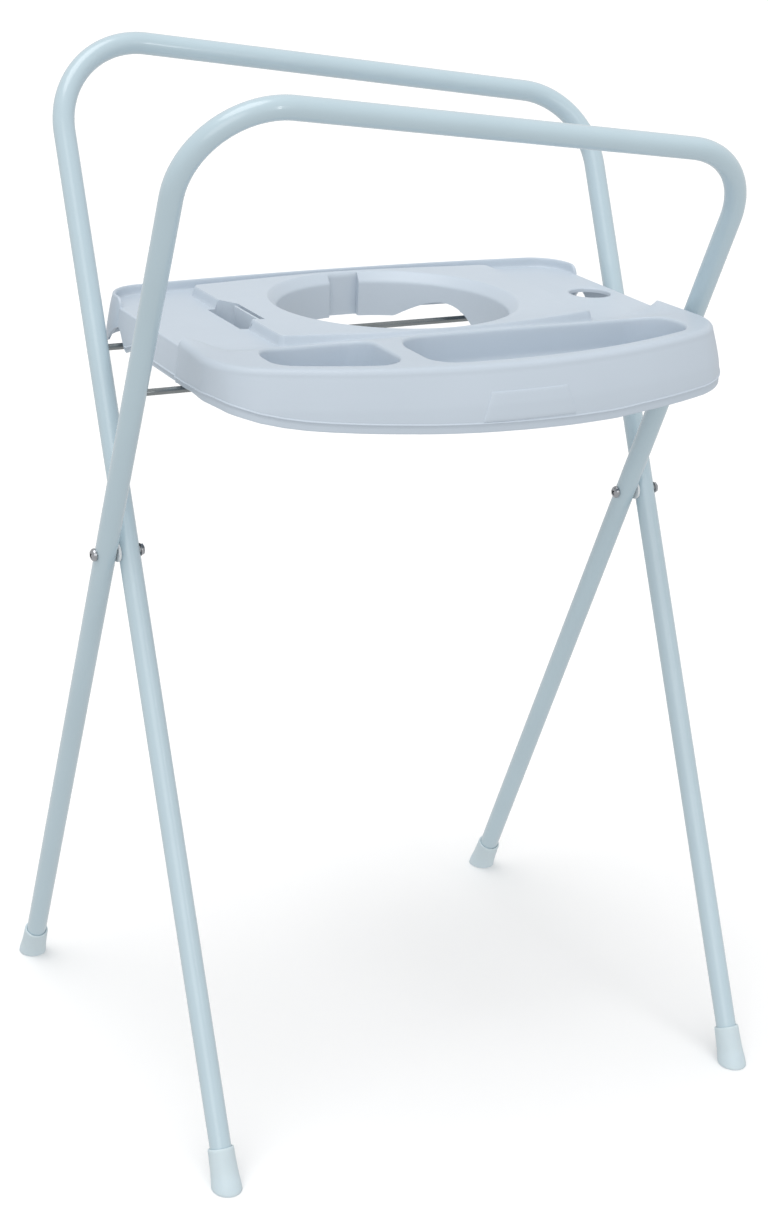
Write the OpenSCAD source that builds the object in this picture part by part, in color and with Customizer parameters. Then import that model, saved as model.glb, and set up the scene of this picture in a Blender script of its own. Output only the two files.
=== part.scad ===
// Folding baby bath stand: two bent tube frames crossing on a pivot,
// two cross rods and a moulded storage tray that hinges on one rod.
// Millimetres. X along the top bars, Y front to back, Z up.
// Origin on the floor, in the middle of the footprint.

/* [Frames] */
// Outside diameter of the bent tubes
tube_d = 20; // [18:0.5:21]
// Wall thickness of the bent tubes
tube_wall = 1.2; // [1:0.1:1.5]
// Distance between the leg centre lines of one frame
leg_span = 552; // [546:1:580]
// Sideways offset between the two crossing frames
frame_offset = 22.5; // [22.5:0.5:26]
// Tilt of each frame from upright when the stand is open
open_angle = 24.7; // [23:0.1:27]
// Height of the pivot axis above the floor
pivot_h = 533.5; // [520:0.5:550]
// Distance along the frame from the pivot to the high (left) corner
rise_left = 477.5; // [470:0.1:500]
// Distance along the frame from the pivot to the low (right) corner
rise_right = 399.2; // [395:0.1:420]
// Centre line radius of the corner bends
bend_r = 80; // [60:1:90]

/* [Cross rods] */
// Diameter of the two cross rods
rod_d = 6; // [5:0.5:6]
// Distance along the frame from the pivot to its cross rod
rod_rise = 186.5; // [180:0.5:195]

/* [Feet] */
// Height of a foot cap along the leg
cap_len = 38; // [32:1:44]
// Diameter of a foot cap at its mouth
cap_top_d = 24.4; // [23.5:0.1:26]
// Diameter of a foot cap at the floor
cap_foot_d = 28; // [26:0.5:30]

/* [Pivots] */
// Diameter of the pivot bolts
bolt_d = 6; // [5:0.5:6]
// Diameter of the bolt head
head_d = 12; // [10:0.5:13]
// Height of the bolt head and of the nut
head_h = 4.4; // [4:0.1:5]

/* [Tray] */
// Height of the tray's rim, plateau and front deck above the floor
tray_top = 745; // [743:0.5:748]
// Height of the tray's flat side plates above the floor
plate_top = 736; // [734:0.5:738]
// Half width of the tray's side plates
tray_hw = 240; // [236:0.5:242]
// Wall thickness of the moulding
tray_wall = 3; // [2.5:0.1:3.5]
// Radius of the large round opening
hole_r = 107.7; // [100:0.1:109]
// Radius of the small accessory hole
acc_r = 20; // [16:0.5:21]
// Depth of the two front compartments
comp_depth = 33; // [22:1:36]

/* [Hidden] */
$fn = 96;

tr = tube_d / 2;                       // tube outer radius
ti = tr - tube_wall;                   // tube inner radius
half = leg_span / 2;
fo = frame_offset / 2;
slope = atan((rise_left - rise_right) / leg_span);   // fall of the top bar in its frame
t_left = bend_r * tan((90 + slope) / 2);             // tangent lengths of the bends
t_right = bend_r * tan((90 - slope) / 2);
leg_down = pivot_h / cos(open_angle);                // pivot to floor along the leg
tube_end = leg_down - 12.5;                          // the tube stops inside its cap
rod_y = rod_rise * sin(open_angle);                  // cross rods at rest
rod_z = pivot_h + rod_rise * cos(open_angle);
gap = frame_offset - tube_d;                         // between crossing tubes
run = 0.3;                                           // clearance between moving bodies
lap = 1;                                             // bend overlap with the straight tube, degrees
thin = 0.05;                                         // thinning of the wall in a bend
steel = [0.74, 0.81, 0.84];
zinc = [0.48, 0.50, 0.52];
plastic = [0.83, 0.86, 0.90];
cap_col = [0.84, 0.89, 0.91];
eps = 0.01;

// ---------------------------------------------------------------- frames

// Places children in a frame's plane: X across, Z along the legs, pivot at 0.
module in_frame(dir) translate([0, 0, pivot_h]) rotate([dir * open_angle, 0, 0]) children();

// A cylinder of radius r along X from x0 to x1 at height v in the frame plane.
module xcyl(x0, x1, r, y = 0, z = 0)
  translate([x0, y, z]) rotate([0, 90, 0]) cylinder(r = r, h = x1 - x0);

module pipe(h) difference() {
  cylinder(r = tr, h = h);
  translate([0, 0, -1]) cylinder(r = ti, h = h + 2);
}
// A bend is drawn slightly thinner than the straight tube, and reaches lap into it.
module bend(a) rotate([0, 0, -lap]) rotate_extrude(angle = a + 2 * lap) translate([bend_r, 0]) difference() {
  circle(r = tr - thin);
  circle(r = ti + thin);
}
// The right leg of a frame with its bend: the pivot hole goes through both walls,
// the rod's hole through the inner wall only.
module leg_and_bend(top, turn, pr) {
  translate([half, 0, 0]) difference() {
    translate([0, 0, -tube_end]) pipe(tube_end + top);
    xcyl(-tr - 1, tr + 1, pr);
    xcyl(-tr - 1, -1, rod_d / 2 + 0.05, 0, rod_rise);
  }
  translate([half - bend_r, 0, top]) rotate([90, 0, 0]) bend(turn);
}

// One bent tube: two legs, two bends and the sloping bar.
// dir 1 is the frame whose bar is at the front, -1 the one with its bar at the back.
// pr is the radius of the pivot holes.
module bent_frame(dir, pr) in_frame(dir) translate([-dir * fo, 0, 0]) {
  leg_and_bend(rise_right - t_right, 90 - slope, pr);
  mirror([1, 0, 0]) leg_and_bend(rise_left - t_left, 90 + slope, pr);
  translate([-half + t_left * cos(slope), 0, rise_left - t_left * sin(slope)])
    rotate([0, 90 + slope, 0]) pipe(leg_span / cos(slope) - t_left - t_right);
}

module front_rail_tube() color(steel) bent_frame(1, bolt_d / 2 + 0.05);
module rear_rail_tube() color(steel) bent_frame(-1, bolt_d / 2 + 1.05);

// A cross rod is set into the inner walls of its frame's two legs.
module cross_rod(dir) color(zinc) in_frame(dir) translate([-dir * fo, 0, 0])
  xcyl(-half - 7.6, half + 7.6, rod_d / 2, 0, rod_rise);
module front_cross_rod() cross_rod(1);
module rear_cross_rod() cross_rod(-1);

// ---------------------------------------------------------------- feet

// Plastic cap pushed onto a leg end, cut flat where it stands.
module foot_cap(dir, side) {
  r1 = cap_top_d / 2; r2 = cap_foot_d / 2;
  color(cap_col) difference() {
    intersection() {
      in_frame(dir) translate([side * half - dir * fo, 0, -leg_down]) difference() {
        rotate_extrude() polygon([
          [0, -9], [r2 - 0.4, -9], [r2, -5], [r2, 3], [r2 - 0.5, 7], [r1 + 0.45, 20],
          [r1 + 0.1, 30], [r1, cap_len - 2.2], [r1 - 0.35, cap_len - 0.7], [r1 - 1, cap_len], [0, cap_len]]);
        translate([0, 0, 12.5]) cylinder(r = tr + 0.02, h = 60);
      }
      translate([-500, -500, 0]) cube([1000, 1000, 100]);
    }
  }
}
module foot_cap_rear_left() foot_cap(1, -1);
module foot_cap_rear_right() foot_cap(1, 1);
module foot_cap_front_left() foot_cap(-1, -1);
module foot_cap_front_right() foot_cap(-1, 1);

// ---------------------------------------------------------------- pivots
// Each pivot from left to right: head, outer tube, spacer, inner tube, washer, nut.

module on_pivot(side) translate([side * half, 0, pivot_h]) rotate([0, 90, 0]) children();

reach = fo + tr;                                     // pivot middle to the outer tube face
module pivot_bolt(side) color(zinc) on_pivot(side) {
  difference() {
    translate([0, 0, -reach - head_h]) union() {
      rotate_extrude() polygon([[0, 0], [head_d * 0.2, 0.05], [head_d * 0.34, 0.6],
        [head_d * 0.45, 1.8], [head_d / 2, 3.2], [head_d / 2, head_h], [0, head_h]]);
      translate([0, 0, head_h - eps]) cylinder(d = bolt_d, h = 2 * reach + 3.6);
    }
    for (a = [45, 135]) translate([0, 0, -reach - head_h + 0.6]) rotate([0, 0, a])
      cube([5.6, 1.4, 2.6], center = true);
  }
}
module pivot_bolt_left() pivot_bolt(-1);
module pivot_bolt_right() pivot_bolt(1);

module washer(side) color(zinc) on_pivot(side) translate([0, 0, reach + run]) difference() {
  cylinder(d = 12, h = 0.8);
  translate([0, 0, -1]) cylinder(r = bolt_d / 2 + 0.2, h = 3);
}
module washer_left() washer(-1);
module washer_right() washer(1);

// Lock nut, closed at its outer end.
module pivot_nut(side) color(zinc) on_pivot(side) translate([0, 0, reach + run + 0.8]) difference() {
  union() {
    cylinder(d = 11, h = 2.3, $fn = 6);
    rotate_extrude() polygon([[0, 0], [4.7, 0], [4.7, 2.3], [4.3, 2.9], [3.2, 3.3], [0, 3.3]]);
  }
  translate([0, 0, -1]) cylinder(r = bolt_d / 2 + 0.03, h = 3.6);
}
module pivot_nut_left() pivot_nut(-1);
module pivot_nut_right() pivot_nut(1);

// Disc that keeps the crossing tubes apart.
module pivot_spacer(side) color(plastic) on_pivot(side) {
  // The front frame is on the left of each pivot.
  translate([0, 0, -gap / 2]) difference() {
    cylinder(r = 9, h = gap - run);
    translate([0, 0, -1]) cylinder(r = bolt_d / 2 + 0.1, h = gap + 2);
  }
}
module pivot_spacer_left() pivot_spacer(-1);
module pivot_spacer_right() pivot_spacer(1);

// Sleeve in the rear frame's pivot hole: it turns on the bolt.
module pivot_bush(side) color(plastic) on_pivot(side) translate([0, 0, fo - tr]) difference() {
  cylinder(r = bolt_d / 2 + 1.02, h = tube_d);
  translate([0, 0, -1]) cylinder(r = bolt_d / 2 + 0.05, h = tube_d + 2);
}
module pivot_bush_left() pivot_bush(-1);
module pivot_bush_right() pivot_bush(1);

// ---------------------------------------------------------------- tray

function arc(cx, cy, r, a0, a1, n) =
  [for (i = [0 : n]) let (a = a0 + (a1 - a0) * i / n) [cx + r * cos(a), cy + r * sin(a)]];
function flip(p) = [for (i = [len(p) - 1 : -1 : 0]) if (abs(p[i][0]) > 0.001) [-p[i][0], p[i][1]]];
function whole(h) = concat(h, flip(h));

// One half of the tray's outline with its side at hw, grown by o: front bow, corner, side, rear corner, rear edge.
bow_r = 520; bow_y = 288; fc_r = 60; fc_x = 189;
fc_y = bow_y - sqrt(pow(bow_r - fc_r, 2) - fc_x * fc_x);
fc_a = atan2(fc_y - bow_y, fc_x);
rear_r = 2339; rear_y = 147; rc_r = 38;
side_extra = 4.4;                      // the plate reaches further out on the right
function rc_y(hw) = rear_y - rear_r + sqrt(pow(rear_r - rc_r, 2) - pow(hw - rc_r, 2));
function rc_a(hw) = atan2(rc_y(hw) - rear_y + rear_r, hw - rc_r);
step_y = -63;
function half_outline(o, so, hw) = concat(
  arc(0, bow_y, bow_r + o, -90, fc_a, 14),
  arc(fc_x, fc_y, fc_r + o, fc_a + 6, 5, 9),
  [[fc_x + fc_r - 5 + so, step_y - 5], [hw + so, step_y + 5]],
  arc(hw - rc_r, rc_y(hw), rc_r + so, 0, rc_a(hw), 7),
  arc(0, rear_y - rear_r, rear_r + so, rc_a(hw) + 1, 90, 6));
function outline(o, so) = concat(half_outline(o, so, tray_hw + side_extra), flip(half_outline(o, so, tray_hw)));

// Plateau around the big opening.
function half_plateau(o) = concat(
  [[0, -106.3 - o], [40, -105.7 - o], [80, -102.3 - o], [120, -94.5 - o], [150, -88 - o]],
  arc(151, -82, 6 + o, -78, 0, 3),
  [[157 + o, 112]],
  arc(149, 112, 8 + o, 0, 80, 4),
  [[90, 127.4 + o], [45, 132.2 + o], [0, 134.6 + o]]);
plateau = whole(half_plateau(0));

// Front compartments, each with a bowed front wall; rl and rr are the radii of the rear corners.
function comp(x0, x1, y1, r, rl, rr, o) = concat(
  arc(x0 + rl, y1 - rl, rl - o, 180, 90, 5),
  arc(x1 - rr, y1 - rr, rr - o, 90, 0, 5),
  arc(x1 - r, comp_front(x1 - r) + r, r - o, 0, -75, 5),
  [for (i = [1 : 11]) let (x = x1 - r - (x1 - x0 - 2 * r) * i / 12) [x, comp_front(x) + o]],
  arc(x0 + r, comp_front(x0 + r) + r, r - o, -105, -180, 5));
function comp_front(x) = bow_y - sqrt(pow(bow_r - 15, 2) - x * x);
comp_l = [-197, -89];
comp_r = [-64, 212];
comp_y = -111;

hx = 2; hy = 14;                       // centre of the large opening
ax = 214.5; ay = 12.6;                 // centre of the accessory hole
acc_h = 4;                             // depth of its rim
slot = [-166, -145, -26, 57];          // latch slot: x0, x1, y0, y1
slot_edge = [[-166, -19], [-145, -26], [-145, 35], [-157, 57], [-166, 57]];
deck = tray_top - 3;                   // deck behind the compartments
shoulder = 724;                        // the skirt is wider below this height
skirt_z = 707;                         // lower edge of the opening's collar
pad_z = 713;                           // underside of the tray above the rod clips

// Lower edge of the skirt, seen from the side: s is 1 for the right half, which is a little deeper in front.
function lip(y, s) = y > 60 ? 701 : y > 45 ? 706.4 - 5.4 * (y - 45) / 15 :
  let (t = min(1, max(0, s > 0 ? (y + 217) / 70 : (y + 232) / 67))) 689 + 17.4 * t * t * (3 - 2 * t);
function lip_line(s, up) = [for (y = [-270 : 10 : 170]) [y, lip(y, s) + up]];

// Extrudes a side view across the tray.
module across(x0, x1, pts) translate([x0, 0, 0]) rotate([90, 0, 90]) linear_extrude(x1 - x0) polygon(pts);

// Arch over the rear cross rod.
function arch(yc, z0, w, h) = concat([[yc - w / 2, z0]],
  [for (i = [0 : 12]) let (u = -1 + i / 6) [yc + u * w / 2 * (1 - 0.45 * (1 - abs(u))), z0 + 4 + (h - 4) * (1 - u * u)]],
  [[yc + w / 2, z0]]);

module tray_moulding() color(plastic) {
  w = tray_wall;
  difference() {
    union() {
      // shell: walls, plate, rims and deck
      difference() {
        union() {
          translate([0, 0, shoulder - 1]) linear_extrude(tray_top - shoulder + 1) polygon(outline(3, 1));
          translate([0, 0, 660]) linear_extrude(shoulder - 660) polygon(outline(8, 3));
        }
        translate([0, 0, 650]) linear_extrude(plate_top - w - 650) polygon(outline(3 - w, 1 - w));
        translate([0, 0, 650]) linear_extrude(shoulder - w - 650) polygon(outline(8 - w, 3 - w));
        intersection() {
          translate([0, 0, 650]) linear_extrude(deck - w - 650) polygon(outline(3 - w - 2, 1 - w - 2));
          translate([-300, -300, 640]) cube([600, 300 + step_y - 30, 200]);
        }
        // space above the side plates, inside the rear rim
        difference() {
          translate([0, 0, plate_top]) linear_extrude(20) polygon(outline(-3.5, -3.5));
          translate([-300, -400, plate_top - 5]) cube([600, 400 + step_y - 26, 40]);
        }
        // rear rim ends, low side edges
        for (s = [-1, 1]) translate([s * 240 - 20, step_y, plate_top]) cube([40, 88 - step_y, 20]);
        // deck behind the front rim
        intersection() {
          translate([0, 0, deck]) linear_extrude(20) polygon(outline(-16, -16));
          translate([-300, -190, deck - 5]) cube([600, 190 + step_y - 20, 40]);
        }
      }
      // lip along the lower edge
      difference() {
        translate([0, 0, 660]) linear_extrude(60) polygon(outline(9.5, 4));
        translate([0, 0, 650]) linear_extrude(80) polygon(outline(6, 1));
        for (s = [-1, 1]) across(s * 150 - 150, s * 150 + 150, concat([[-270, 780]], lip_line(s, 8.5), [[170, 780]]));
      }
      // plateau
      difference() {
        translate([0, 0, plate_top - w]) linear_extrude(tray_top - plate_top + w) polygon(plateau);
        translate([0, 0, plate_top - w - 1]) linear_extrude(tray_top - plate_top + 1) polygon(whole(half_plateau(-w)));
      }
      // collar of the large opening, with the funnel above it
      translate([hx, hy, skirt_z]) cylinder(r = hole_r + 2.6, h = plate_top - skirt_z);
      translate([hx, hy, plate_top - w]) cylinder(r = hole_r + 8.3 + 2.6, h = tray_top - plate_top + w - eps);
      translate([-14.5, 104, skirt_z]) cube([36.5, 27, tray_top - skirt_z - 2]);
      // compartments
      translate([0, 0, tray_top - comp_depth - w]) linear_extrude(comp_depth + w - 6) polygon(comp(comp_l[0], comp_l[1], comp_y, 24, 38, 24, -w));
      translate([0, 0, tray_top - comp_depth - w]) linear_extrude(comp_depth + w - 6) polygon(comp(comp_r[0], comp_r[1], comp_y, 28, 28, 40, -w));
      // rim of the accessory hole
      translate([ax, ay, plate_top - acc_h]) cylinder(r = acc_r + 2.4, h = acc_h);
      // ribs that sit over the cross rods
      for (s = [-1, 1]) {
        translate([s * 198 - 1.5, -107, 700]) cube([3, 243, plate_top - 701]);
        translate([s * 127 - 1.5, -107, 700]) cube([3, 248, plate_top - 701]);
        translate([s * 127 - 1.5, -90, 730]) cube([3, 202, tray_top - 732.5]);
        translate([s * 127, -rod_y - 13, pad_z]) cylinder(r = 4.4, h = tray_top - 1 - pad_z);
      }
      // walls of the latch slot and its tongue
      translate([slot[0] - 2, slot[2] - 2, 714]) cube([slot[1] - slot[0] + 4, slot[3] - slot[2] + 4, plate_top - 1 - 714]);
      translate([-155, slot[2] - 2, 730]) cube([slot[1] + 157, 65, tray_top - 731]);
      // blank panel on the front
      intersection() {
        difference() {
          translate([0, 0, 680]) linear_extrude(43) polygon(outline(9.4, 4));
          translate([0, 0, 670]) linear_extrude(60) polygon(outline(7, 2));
        }
        translate([0, 0, 680]) rotate([90, 0, 0]) linear_extrude(300) polygon([[-44, 0], [60, 0], [45.5, 43], [-29.5, 43]]);
      }
    }
    // large opening: bore, funnel and the flat recess at the back
    translate([hx, hy, 600]) cylinder(r = hole_r, h = 200);
    translate([hx, hy, plate_top - 1]) cylinder(r1 = hole_r, r2 = hole_r + 8.3, h = tray_top - plate_top + 1 + eps);
    translate([hx, hy, tray_top]) cylinder(r = hole_r + 8.3, h = 20);
    translate([-11.5, 60, 600]) cube([30.5, 68, 200]);
    // compartments
    translate([0, 0, tray_top - comp_depth]) linear_extrude(60) polygon(comp(comp_l[0], comp_l[1], comp_y, 24, 38, 24, 0));
    translate([0, 0, tray_top - comp_depth]) linear_extrude(60) polygon(comp(comp_r[0], comp_r[1], comp_y, 28, 28, 40, 0));
    // accessory hole
    translate([ax, ay, 650]) cylinder(r = acc_r, h = 200);
    translate([ax, ay, 650]) cylinder(r = acc_r + 2.4, h = plate_top - acc_h - 650);
    // latch slot, leaving a tongue
    difference() {
      translate([0, 0, 650]) linear_extrude(200) polygon(slot_edge);
      translate([slot[1] - 5.2, slot[2] - 4, 714]) cube([2.3, 59, tray_top - 0.8 - 714]);
    }
    // side walls: arches over the rear rod, relief over the front rod
    for (s = [-1, 1]) across(s * 240 - 14, s * 240 + 14, arch(80.5 - s * 4.5, 690, 56 + s * 2, 31 + s * 2));
    across(-210, 210, concat([[-rod_y - 3.6, 690]], arc(-rod_y, rod_z, 3.6, 180, 0, 8), [[-rod_y + 3.6, 690]]));
    // collar cut away over both rods
    for (s = [-1, 1]) across(s * 76 - 36, s * 76 + 36, arch(78, 690, 78, 30));
    across(-75, 75, arch(-rod_y, 690, 30, 20));
    // saddles of the ribs on the rear rod, open downwards and forwards
    across(-210, 210, [[rod_y + 3.4, 690], [rod_y + 3.4, rod_z + 1.5], [rod_y + 1.8, rod_z + 3.4],
      [rod_y - 1.8, rod_z + 3.4], [rod_y - 3.6, rod_z + 1.5], [rod_y - 16, 690]]);
    // room for the clips on the front rod
    for (s = [-1, 1]) {
      translate([s * 127 - 7.6, -rod_y - 18.6, 690]) cube([15.2, 26.7, pad_z - 690]);
      translate([s * 127, -rod_y - 13, pad_z - 1]) cylinder(r = 1.75, h = 18);
    }
    // lower edge
    for (s = [-1, 1]) across(s * 150 - 150, s * 150 + 150, concat([[-270, 600]], lip_line(s, 0), [[170, 600]]));
  }
}

// Snap clip that hinges the tray on the front rod, screwed up under the tray.
module rod_clip(side) color(plastic) translate([side * 127, -rod_y, 0]) difference() {
  union() {
    xcyl(-7, 7, 6.6, 0, rod_z);
    translate([-7, -6.6, rod_z]) cube([14, 13.2, pad_z - rod_z]);
    translate([-7, -18, pad_z - 3.2]) cube([14, 25.5, 3.2]);
  }
  xcyl(-10, 10, rod_d / 2 + 0.05, 0, rod_z);
  across(-10, 10, [[0, rod_z - 0.3], [-4.6, rod_z - 9], [4.6, rod_z - 9]]);
  translate([0, -13, pad_z - 10]) cylinder(r = 1.9, h = 20);
}
module rod_clip_left() rod_clip(-1);
module rod_clip_right() rod_clip(1);

// One self-tapping screw holds each clip.
module clip_screws() color(zinc) for (s = [-1, 1]) translate([s * 127, -rod_y - 13, pad_z - 3.2]) {
  translate([0, 0, -eps]) cylinder(r = 1.7, h = 18);
  difference() {
    translate([0, 0, -2]) rotate_extrude() polygon([[0, 0], [1.6, 0.1], [2.8, 0.8], [3.3, 2], [0, 2]]);
    for (a = [0, 90]) translate([0, 0, -2]) rotate([0, 0, a]) cube([3.2, 0.8, 2], center = true);
  }
}

front_rail_tube();
rear_rail_tube();
front_cross_rod();
rear_cross_rod();
foot_cap_rear_left();
foot_cap_rear_right();
foot_cap_front_left();
foot_cap_front_right();
pivot_bolt_left();
pivot_bolt_right();
pivot_nut_left();
pivot_nut_right();
pivot_spacer_left();
pivot_spacer_right();
pivot_bush_left();
pivot_bush_right();
washer_left();
washer_right();
tray_moulding();
rod_clip_left();
rod_clip_right();
clip_screws();
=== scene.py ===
import math

import bmesh
import bpy
import numpy as np
from mathutils import Matrix, Vector
from mathutils.geometry import delaunay_2d_cdt


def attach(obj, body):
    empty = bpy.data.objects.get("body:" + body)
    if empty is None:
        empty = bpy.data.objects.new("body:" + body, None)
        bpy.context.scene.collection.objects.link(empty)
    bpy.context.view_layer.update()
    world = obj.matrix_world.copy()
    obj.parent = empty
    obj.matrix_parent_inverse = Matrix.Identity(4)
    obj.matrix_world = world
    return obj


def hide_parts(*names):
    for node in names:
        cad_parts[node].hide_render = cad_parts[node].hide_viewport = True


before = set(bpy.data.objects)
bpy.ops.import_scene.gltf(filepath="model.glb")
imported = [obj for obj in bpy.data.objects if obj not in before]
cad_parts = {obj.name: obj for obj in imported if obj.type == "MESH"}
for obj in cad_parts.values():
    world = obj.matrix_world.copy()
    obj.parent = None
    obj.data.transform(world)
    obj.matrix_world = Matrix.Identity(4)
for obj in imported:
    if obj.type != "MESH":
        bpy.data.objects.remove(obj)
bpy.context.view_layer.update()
MM = 0.001

# ------------------------------------------------------------------ numbers shared with the CAD part
TUBE_R, TUBE_I = 10.0, 8.8
SPAN, OFFSET, ALPHA, PIVOT = 552.0, 22.5, math.radians(24.7), 533.5
RISE_L, RISE_R, BEND = 477.5, 399.2, 80.0
HALF, FO = SPAN / 2, OFFSET / 2
SLOPE = math.atan((RISE_L - RISE_R) / SPAN)
T_L = BEND * math.tan((math.pi / 2 + SLOPE) / 2)
T_R = BEND * math.tan((math.pi / 2 - SLOPE) / 2)
LEG = PIVOT / math.cos(ALPHA)
ROD_Y, ROD_Z = 77.932, 702.937


def smooth(t):
    t = np.clip(t, 0.0, 1.0)
    return t * t * (3 - 2 * t)


def new_object(name, verts, faces, body, material, angle=38.0, bevel=None):
    """Mesh in millimetres, in the row frame, shaded smooth with sharp edges above the angle."""
    me = bpy.data.meshes.new(name)
    me.from_pydata([tuple(float(c) * MM for c in v) for v in verts], [], [tuple(int(i) for i in f) for f in faces])
    bm = bmesh.new()
    bm.from_mesh(me)
    bmesh.ops.remove_doubles(bm, verts=bm.verts, dist=1e-6)
    bmesh.ops.recalc_face_normals(bm, faces=bm.faces)
    bm.to_mesh(me)
    bm.free()
    me.validate()
    for p in me.polygons:
        p.use_smooth = True
    me.set_sharp_from_angle(angle=math.radians(angle))
    ob = bpy.data.objects.new(name, me)
    bpy.context.scene.collection.objects.link(ob)
    me.materials.append(material)
    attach(ob, body)
    return ob


# ------------------------------------------------------------------ materials
def material(name, base, rough, **kw):
    m = bpy.data.materials.new(name)
    m.use_nodes = True
    nt = m.node_tree
    b = nt.nodes["Principled BSDF"]
    b.inputs["Metallic"].default_value = kw.get("metal", 0.0)
    b.inputs["IOR"].default_value = kw.get("ior", 1.5)
    b.inputs["Coat Weight"].default_value = kw.get("coat", 0.0)
    b.inputs["Coat Roughness"].default_value = kw.get("coat_rough", 0.1)
    b.inputs["Specular IOR Level"].default_value = kw.get("spec", 0.5)
    if kw.get("sss"):
        b.inputs["Subsurface Weight"].default_value = kw["sss"]
        b.inputs["Subsurface Radius"].default_value = (0.008, 0.008, 0.009)
        b.inputs["Subsurface Scale"].default_value = 1.0
    co = nt.nodes.new("ShaderNodeTexCoord")

    def noise(scale, detail=4.0, rough_=0.55, stretch=None):
        n = nt.nodes.new("ShaderNodeTexNoise")
        n.inputs["Scale"].default_value = scale
        n.inputs["Detail"].default_value = detail
        n.inputs["Roughness"].default_value = rough_
        if stretch:
            mp = nt.nodes.new("ShaderNodeMapping")
            mp.inputs["Scale"].default_value = stretch
            nt.links.new(co.outputs["Object"], mp.inputs["Vector"])
            nt.links.new(mp.outputs["Vector"], n.inputs["Vector"])
        else:
            nt.links.new(co.outputs["Object"], n.inputs["Vector"])
        return n.outputs["Fac"]

    # broad mottling of the colour
    broad = noise(kw.get("broad", 14.0), 3.0)
    ramp = nt.nodes.new("ShaderNodeValToRGB")
    v = kw.get("vary", 0.03)
    ramp.color_ramp.elements[0].position = 0.3
    ramp.color_ramp.elements[1].position = 0.7
    ramp.color_ramp.elements[0].color = tuple(c * (1 - v) for c in base) + (1,)
    ramp.color_ramp.elements[1].color = tuple(min(1, c * (1 + v)) for c in base) + (1,)
    nt.links.new(broad, ramp.inputs["Fac"])
    nt.links.new(ramp.outputs["Color"], b.inputs["Base Color"])
    # roughness that wanders a little
    fine = noise(kw.get("rough_scale", 60.0), 5.0, 0.6, kw.get("stretch"))
    mr = nt.nodes.new("ShaderNodeMapRange")
    mr.inputs["To Min"].default_value = rough * (1 - kw.get("rough_vary", 0.15))
    mr.inputs["To Max"].default_value = rough * (1 + kw.get("rough_vary", 0.15))
    nt.links.new(fine, mr.inputs["Value"])
    nt.links.new(mr.outputs["Result"], b.inputs["Roughness"])
    # fine relief: orange peel, moulding grain or brushing
    grain = noise(kw.get("grain", 900.0), 2.0, 0.5, kw.get("stretch"))
    bump = nt.nodes.new("ShaderNodeBump")
    bump.inputs["Strength"].default_value = kw.get("bump", 0.1)
    bump.inputs["Distance"].default_value = kw.get("relief", 0.0001)
    nt.links.new(grain, bump.inputs["Height"])
    nt.links.new(bump.outputs["Normal"], b.inputs["Normal"])
    return m


M_TUBE = material("tube_paint", (0.489, 0.612, 0.675), 0.24, ior=1.5, coat=0.6, coat_rough=0.08, vary=0.02, broad=9.0, grain=420.0, bump=0.10, relief=0.00012)
M_ROD = material("rod_zinc", (0.26, 0.28, 0.285), 0.26, metal=1.0, vary=0.12, broad=30.0, grain=1500.0, bump=0.16, relief=0.00005, stretch=(0.06, 1.0, 1.0), rough_vary=0.3)
M_HARD = material("hardware_zinc", (0.40, 0.41, 0.43), 0.24, metal=1.0, vary=0.15, broad=160.0, grain=1800.0, bump=0.15, relief=0.00005, rough_vary=0.3)
M_TRAY = material("tray_plastic", (0.535, 0.605, 0.68), 0.40, ior=1.49, vary=0.018, broad=7.0, grain=1300.0, bump=0.12, relief=0.00008, spec=0.45)
M_CAP = material("cap_plastic", (0.585, 0.69, 0.74), 0.42, ior=1.49, sss=0.2, vary=0.02, broad=40.0, grain=900.0, bump=0.12, relief=0.00008)
M_SPACER = material("spacer_plastic", (0.76, 0.79, 0.81), 0.40, sss=0.2, vary=0.02, broad=60.0, grain=1000.0, bump=0.10, relief=0.00006)
M_HINGE = material("clip_plastic", (0.52, 0.59, 0.665), 0.42, ior=1.49, vary=0.02, broad=40.0, grain=1200.0, bump=0.12, relief=0.00007)

for name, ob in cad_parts.items():
    ob.data.materials.clear()
    if "rail_tube" in name:
        m, s = M_TUBE, "tube_paint"
    elif "cross_rod" in name:
        m, s = M_ROD, "rod_zinc"
    elif "foot_cap" in name:
        m, s = M_CAP, "cap_plastic"
    elif "spacer" in name or "bush" in name:
        m, s = M_SPACER, "spacer_plastic"
    elif name == "tray_moulding":
        m, s = M_TRAY, "tray_plastic"
    elif "rod_clip" in name:
        m, s = M_HINGE, "tray_plastic"
    else:
        m, s = M_HARD, "hardware_zinc"
    ob.data.materials.append(m)
    for p in ob.data.polygons:
        p.use_smooth = True
    ob.data.set_sharp_from_angle(angle=math.radians(34))


# ------------------------------------------------------------------ bent tubes
def in_frame(d, u, v, w=0.0):
    """A point of a frame's plane: u across, v up the legs, w out of the plane."""
    s, c = math.sin(d * ALPHA), math.cos(ALPHA)
    return np.array([u - d * FO, -v * s + w * c, PIVOT + v * c + w * s])


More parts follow.
